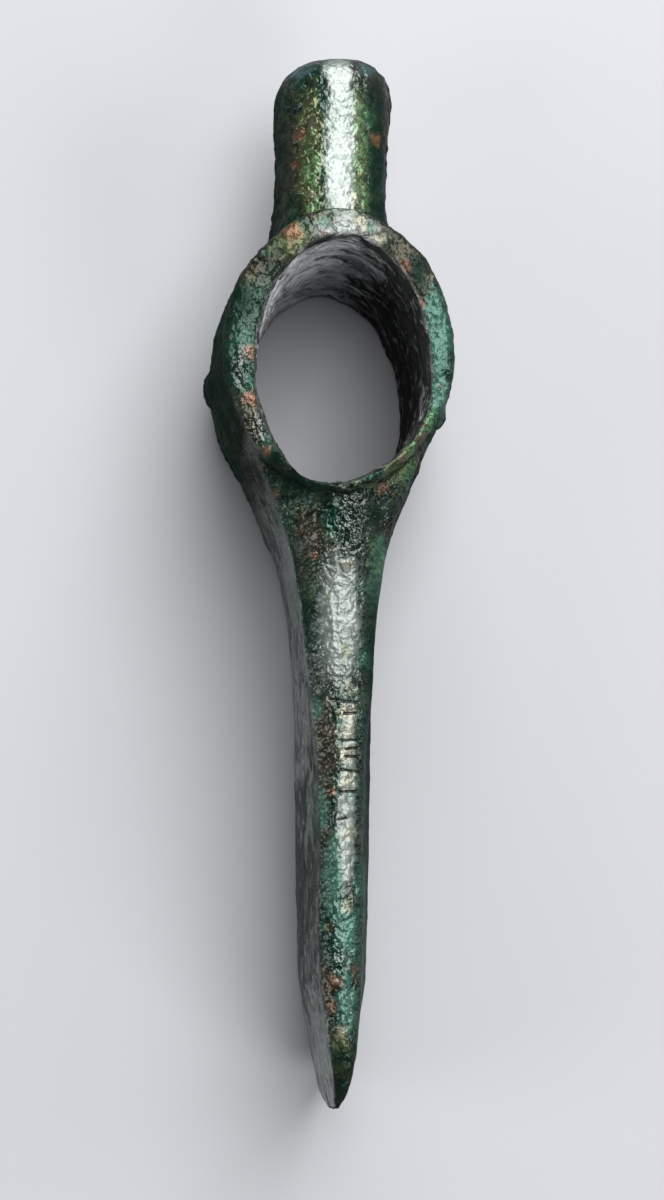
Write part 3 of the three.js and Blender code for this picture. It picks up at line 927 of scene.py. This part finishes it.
class AXE_OT_head(bpy.types.Operator):
    """Build the cast bronze axe head over its solid"""

    bl_idname = "axe.make_head"
    bl_label = "Axe Head"

    def execute(self, context):
        sizes = context.scene.axe_relief
        obj = bpy.data.objects.new("axe_work", merged_copy(NODE))
        context.scene.collection.objects.link(obj)
        remesh = obj.modifiers.new("Even grid", "REMESH")
        remesh.mode = "VOXEL"
        remesh.voxel_size = sizes.grid
        soften = obj.modifiers.new("Soften facets", "SMOOTH")
        soften.factor = SOFTEN_FACTOR
        soften.iterations = SOFTEN_ROUNDS
        obj = plain_result(obj, "axe_work")
        fill_out_socket(obj.data)
        mark_regions(obj.data)
        mark_colours(obj.data)
        material = patina_material(context.scene.axe_colours)
        add_tree(obj, relief_tree(), RELIEF_INPUTS, sizes, material)
        add_tree(obj, patina_tree(), PATCH_INPUTS, sizes, material)
        triangles = 2 * len(obj.data.polygons)
        thin = obj.modifiers.new("Thin out", "DECIMATE")
        thin.ratio = min(1.0, sizes.triangles / triangles)
        head = plain_result(obj, "bronze_axe_head")
        rest_on_floor(head.data)
        head.data.polygons.foreach_set("use_smooth", [True] * len(head.data.polygons))
        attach(head, "root")
        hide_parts(NODE)
        return {"FINISHED"}


def matt_material(name, colour):
    """A plain matt colour for the floor."""
    material = bpy.data.materials.new(name)
    material.use_nodes = True
    tree = material.node_tree
    tree.nodes.clear()
    matt = tree.nodes.new("ShaderNodeBsdfDiffuse")
    matt.inputs["Color"].default_value = (*colour, 1.0)
    end = tree.nodes.new("ShaderNodeOutputMaterial")
    tree.links.new(matt.outputs[0], end.inputs["Surface"])
    return material


def soft_light(name, place, size, power):
    """An area light that looks at the axe head and stays out of the picture itself."""
    data = bpy.data.lights.new(name, "AREA")
    data.shape = "RECTANGLE"
    data.size, data.size_y = size
    data.energy = power
    lamp = bpy.data.objects.new(name, data)
    lamp.location = place
    lamp.rotation_euler = (Vector(LIGHT_TARGET) - Vector(place)).to_track_quat("-Z", "Y").to_euler()
    lamp.visible_camera = False
    bpy.context.scene.collection.objects.link(lamp)


def dim_studio(scene):
    """An even, dim light from all round."""
    world = bpy.data.worlds.new("Studio")
    world.use_nodes = True
    background = world.node_tree.nodes["Background"]
    background.inputs["Color"].default_value = STUDIO_COLOUR
    background.inputs["Strength"].default_value = STUDIO_STRENGTH
    scene.world = world


def angled_camera(scene, distance, lens):
    """A camera that looks down on the axe head, with its length upright in the picture."""
    data = bpy.data.cameras.new("Camera")
    data.lens = lens
    data.sensor_width = SENSOR_WIDTH
    data.clip_start = NEAREST_SEEN
    camera = bpy.data.objects.new("Camera", data)
    back = Vector(CAMERA_BACK).normalized()
    right = Vector((0, 1, 0)).cross(back).normalized()
    up = back.cross(right)
    camera.rotation_euler = Matrix((right, up, back)).transposed().to_euler()
    camera.location = Vector(CAMERA_TARGET) * MM + back * distance
    scene.collection.objects.link(camera)
    scene.camera = camera


class AXE_OT_stage(bpy.types.Operator):
    """Build the floor, the soft lights and the camera"""

    bl_idname = "axe.make_stage"
    bl_label = "Floor, Light and Camera"

    def execute(self, context):
        sizes = context.scene.axe_stage
        half = sizes.floor_size / 2
        height = AXE_LOW.z - FLOOR_GAP * MM
        corners = [(x, y, height) for x, y in ((-half, -half), (half, -half), (half, half), (-half, half))]
        mesh = bpy.data.meshes.new("floor")
        mesh.from_pydata(corners, [], [(0, 1, 2, 3)])
        mesh.materials.append(matt_material("Pale floor", sizes.floor_colour))
        floor = bpy.data.objects.new("floor", mesh)
        context.scene.collection.objects.link(floor)
        for name, (place, size, power) in LIGHTS.items():
            soft_light(name, place, size, power)
        dim_studio(context.scene)
        context.scene.view_settings.view_transform = "Standard"
        angled_camera(context.scene, sizes.camera_distance, sizes.lens)
        return {"FINISHED"}


class AXE_PT_panel(bpy.types.Panel):
    """Lists the pieces of the axe head and its stage"""

    bl_label = "Bronze Age Axe Head"
    bl_idname = "AXE_PT_panel"
    bl_space_type = "VIEW_3D"
    bl_region_type = "UI"
    bl_category = "Axe Head"

    def draw(self, context):
        scene = context.scene
        for title, group, operator in (
            ("Relief", scene.axe_relief, "axe.make_head"),
            ("Colours", scene.axe_colours, None),
            ("Stage", scene.axe_stage, "axe.make_stage"),
        ):
            box = self.layout.box()
            box.label(text=title)
            for key in type(group).__annotations__:
                box.prop(group, key)
            if operator:
                box.operator(operator)


CLASSES = (AxeReliefSizes, AxePatinaColours, AxeStageSizes, AXE_OT_head, AXE_OT_stage, AXE_PT_panel)


def register():
    for cls in CLASSES:
        bpy.utils.register_class(cls)
    bpy.types.Scene.axe_relief = PointerProperty(type=AxeReliefSizes)
    bpy.types.Scene.axe_colours = PointerProperty(type=AxePatinaColours)
    bpy.types.Scene.axe_stage = PointerProperty(type=AxeStageSizes)


def unregister():
    del bpy.types.Scene.axe_relief
    del bpy.types.Scene.axe_colours
    del bpy.types.Scene.axe_stage
    for cls in reversed(CLASSES):
        bpy.utils.unregister_class(cls)


def main():
    register()
    bpy.ops.axe.make_head()
    bpy.ops.axe.make_stage()


if __name__ == "__main__":
    main()
